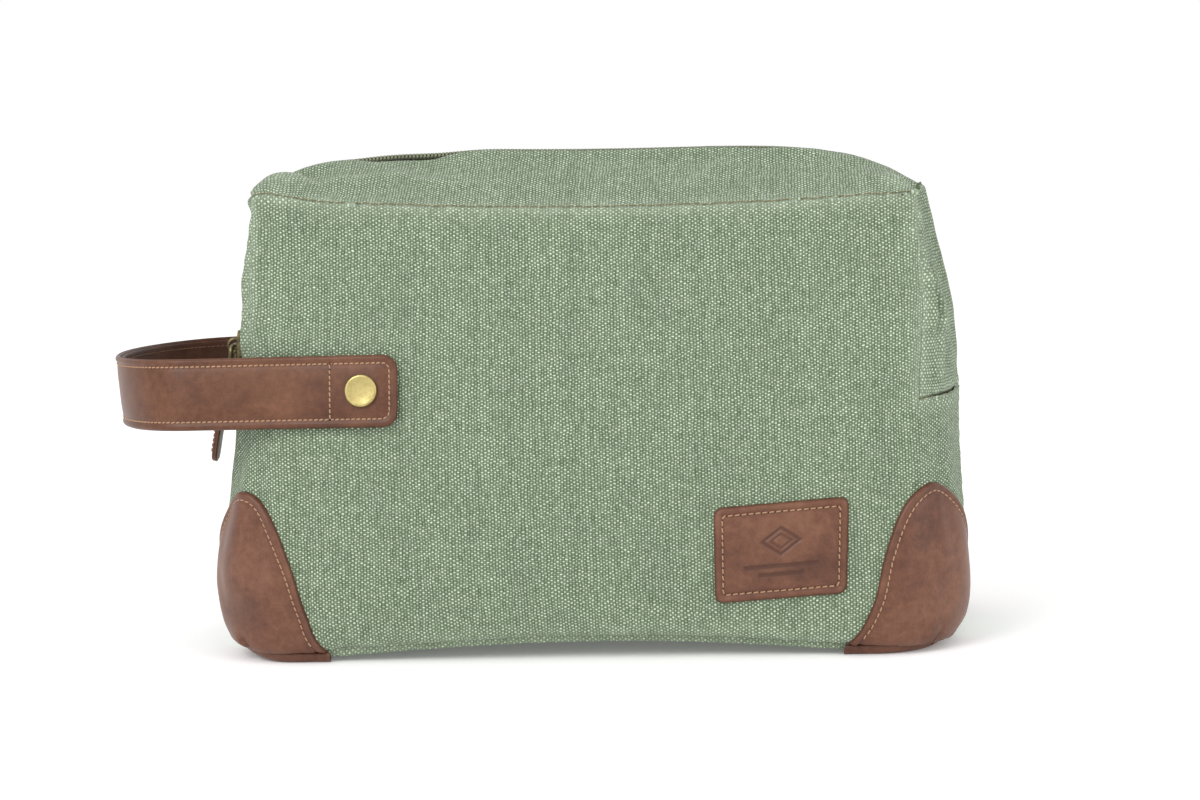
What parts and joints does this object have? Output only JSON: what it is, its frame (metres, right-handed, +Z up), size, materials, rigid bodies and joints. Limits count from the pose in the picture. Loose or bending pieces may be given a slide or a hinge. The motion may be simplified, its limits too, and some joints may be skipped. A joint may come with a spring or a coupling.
{
  "type": "toiletry wash bag",
  "caption": "Boxy zip-top fabric wash bag with leather corner patches, side carrying strap, riveted ends and a blank label patch.",
  "frame": {"origin": "centre of the base, on the plane the bag stands on", "axes": "+Z up; +X along the bag's length, away from the carrying strap; -Y towards the front panel, which carries the label patch"},
  "size_m": [0.312, 0.1239, 0.1793],
  "materials": {
    "canvas": "stone-washed plain-weave cotton canvas, sage green",
    "lining": "light cotton lining cloth",
    "leather": "smooth mottled brown leather, satin",
    "leather_back": "dark brown leather backing",
    "zip_tape": "woven zip tape",
    "zip_coil": "nylon zip coil",
    "brass": "aged satin brass"
  },
  "bodies": {
    "bag": {"front_panel": "canvas", "back_panel": "canvas", "gusset_front": "canvas", "gusset_back": "canvas", "bottom_panel": "canvas", "lining": "lining", "corner_patch_front_left": "leather", "base_corner_front_left": "leather", "corner_patch_front_right": "leather", "base_corner_front_right": "leather", "strap_leg_front": "leather", "strap_backing_front": "leather_back", "rivet_cap_front": "brass", "rivet_burr_front": "brass", "zip_tape_front": "zip_tape", "zip_coil_front": "zip_coil", "corner_patch_back_left": "leather", "base_corner_back_left": "leather", "corner_patch_back_right": "leather", "base_corner_back_right": "leather", "strap_leg_back": "leather", "strap_backing_back": "leather_back", "rivet_cap_back": "brass", "rivet_burr_back": "brass", "zip_tape_back": "zip_tape", "zip_coil_back": "zip_coil", "label_patch": "leather", "zip_stop_left": "brass", "zip_stop_right": "brass"},
    "handle": {"strap_loop": "leather", "strap_loop_backing": "leather_back"},
    "zip_slider": {"slider_body": "brass"},
    "pull_link": {"pull_link": "brass"},
    "pull_tab": {"pull_tab": "leather"}
  },
  "joints": [
    {"name": "handle_swing", "type": "hinge", "parent": "bag", "child": "handle", "pos_m": [-0.127, 0, 0.096], "axis": [0, 1, 0], "range_deg": [-15, 15], "stiffness_Nm_per_rad": 0.15},
    {"name": "zip_slide", "type": "slide", "parent": "bag", "child": "zip_slider", "axis": [0.1043, 0, 0.9945], "range_m": [0, 0.018]},
    {"name": "pull_link_swing", "type": "hinge", "parent": "zip_slider", "child": "pull_link", "pos_m": [-0.13228, 0, 0.10945], "axis": [0, 1, 0], "range_deg": [0, 25]},
    {"name": "pull_tab_swing", "type": "hinge", "parent": "pull_link", "child": "pull_tab", "pos_m": [-0.13355, 0, 0.10044], "axis": [0, 1, 0], "range_deg": [-5, 10]}
  ]
}
